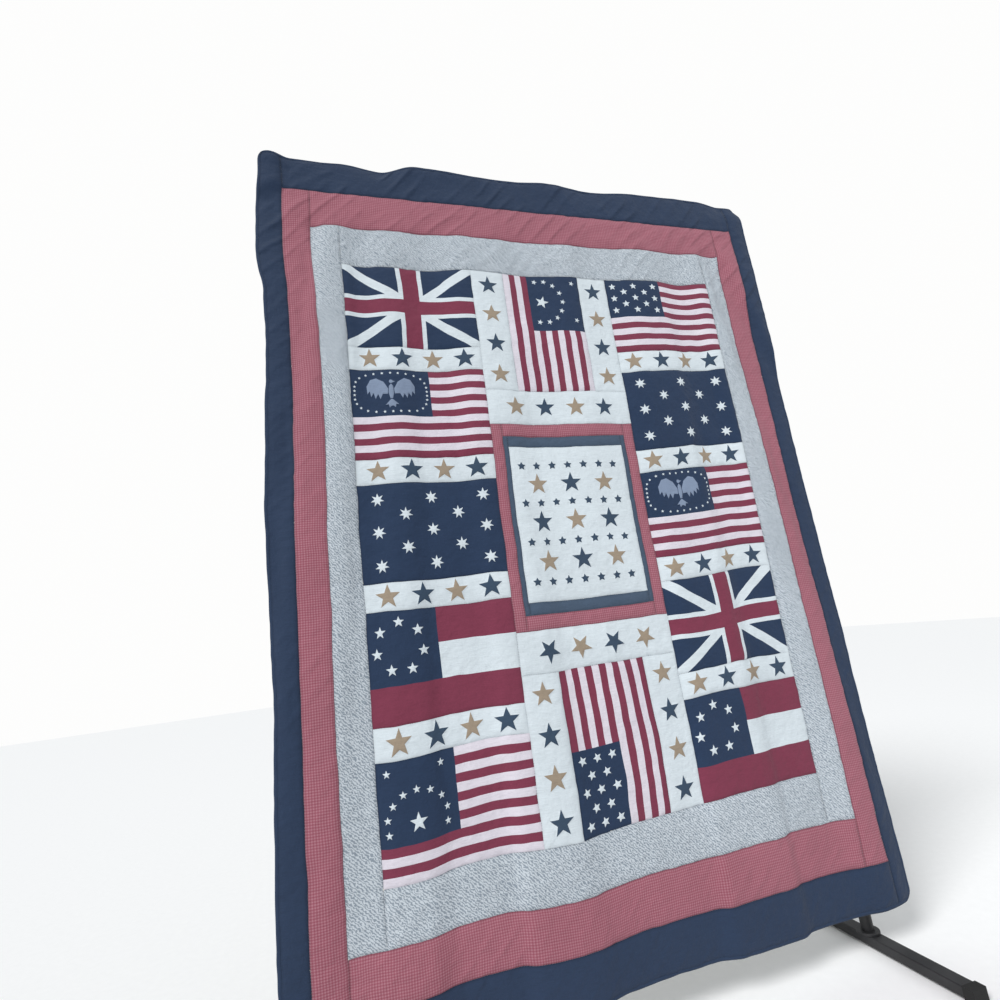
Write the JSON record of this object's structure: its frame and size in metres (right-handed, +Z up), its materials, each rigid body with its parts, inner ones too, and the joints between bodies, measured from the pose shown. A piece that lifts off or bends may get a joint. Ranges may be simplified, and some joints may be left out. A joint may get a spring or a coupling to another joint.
{
  "type": "quilt on a rack",
  "caption": "Patchwork quilt of flag and star blocks in three borders, hung by a sleeve on the rod of a free-standing display rack with telescoping posts, clamp knobs and swinging feet.",
  "frame": {"origin": "on the floor, midway between the two posts and under the middle of the feet", "axes": "+X to the right of someone facing the quilt's front, +Y from the quilt's front to the back of the rack, +Z up"},
  "size_m": [1.653, 0.6, 2.398],
  "materials": {
    "patchwork_cotton": "matte",
    "white_cotton": "matte",
    "grey_print_cotton": "matte",
    "red_gingham": "matte",
    "navy_cotton": "matte",
    "backing_cotton": "matte",
    "batting": "matte",
    "beech": "satin",
    "plated_steel": "satin",
    "chromed_tube": "polished",
    "black_powder_coat": "satin",
    "nylon": "matte",
    "foot_rubber": "matte"
  },
  "bodies": {
    "stand": {"outer_post_left": "black_powder_coat", "outer_post_right": "black_powder_coat", "clamp_collar_left": "nylon", "clamp_collar_right": "nylon", "clamp_studs": "plated_steel", "foot_pivot_bolts": "plated_steel", "tie_bar": "black_powder_coat", "tie_bar_bolts": "plated_steel"},
    "left_post": {"inner_post_left": "chromed_tube", "post_guide_left": "nylon", "rod_cradle_left": "nylon"},
    "right_post": {"inner_post_right": "chromed_tube", "post_guide_right": "nylon", "rod_cradle_right": "nylon"},
    "hung_quilt": {"cross_flag_left": "patchwork_cotton", "bird_flag_left": "patchwork_cotton", "star_block_left": "patchwork_cotton", "ring_flag_left": "patchwork_cotton", "arch_flag_left": "patchwork_cotton", "stripes_flag_right": "patchwork_cotton", "star_block_right": "patchwork_cotton", "bird_flag_right": "patchwork_cotton", "cross_flag_right": "patchwork_cotton", "ring_flag_right": "patchwork_cotton", "turned_arch_flag": "patchwork_cotton", "turned_stripes_flag": "patchwork_cotton", "star_sashes_left": "white_cotton", "star_sashes_right": "white_cotton", "upright_sashes": "white_cotton", "wide_sashes": "white_cotton", "centre_star_panel": "white_cotton", "print_border_top": "grey_print_cotton", "print_border_bottom": "grey_print_cotton", "print_border_left": "grey_print_cotton", "print_border_right": "grey_print_cotton", "gingham_border_top": "red_gingham", "gingham_border_bottom": "red_gingham", "gingham_border_left": "red_gingham", "gingham_border_right": "red_gingham", "centre_gingham_frame": "red_gingham", "navy_border_top": "navy_cotton", "navy_border_bottom": "navy_cotton", "navy_border_left": "navy_cotton", "navy_border_right": "navy_cotton", "centre_navy_frame": "navy_cotton", "binding": "navy_cotton", "batting": "batting", "backing": "backing_cotton", "hanging_sleeve": "backing_cotton", "rod_left_half": "beech", "rod_right_half": "beech", "rod_ferrule": "plated_steel", "rod_end_fittings": "plated_steel"},
    "left_knob": {"clamp_knob_left": "nylon"},
    "right_knob": {"clamp_knob_right": "nylon"},
    "left_foot": {"foot_bar_left": "black_powder_coat", "foot_caps_left": "foot_rubber"},
    "right_foot": {"foot_bar_right": "black_powder_coat", "foot_caps_right": "foot_rubber"}
  },
  "joints": [
    {"name": "left_post_height", "type": "slide", "parent": "stand", "child": "left_post", "axis": [0, 0, 1], "range_m": [-0.06, 0.12]},
    {"name": "right_post_height", "type": "slide", "parent": "stand", "child": "right_post", "axis": [0, 0, 1], "range_m": [-0.06, 0.12]},
    {"name": "rod_lift", "type": "slide", "parent": "left_post", "child": "hung_quilt", "axis": [0, 0, 1], "range_m": [0, 0.05]},
    {"name": "left_clamp_turn", "type": "hinge", "parent": "stand", "child": "left_knob", "pos_m": [-0.7, 0.032, 1.281], "axis": [-1, 0, 0], "range_deg": [0, 360]},
    {"name": "right_clamp_turn", "type": "hinge", "parent": "stand", "child": "right_knob", "pos_m": [0.7, 0.032, 1.281], "axis": [1, 0, 0], "range_deg": [0, 360]},
    {"name": "left_foot_swing", "type": "hinge", "parent": "stand", "child": "left_foot", "pos_m": [-0.7, 0, 0.03], "axis": [0, 0, 1], "range_deg": [-90, 90]},
    {"name": "right_foot_swing", "type": "hinge", "parent": "stand", "child": "right_foot", "pos_m": [0.7, 0, 0.03], "axis": [0, 0, 1], "range_deg": [-90, 90]}
  ],
  "couplings": [
    {"joint": "right_post_height", "follows": "left_post_height", "ratio": 1}
  ]
}
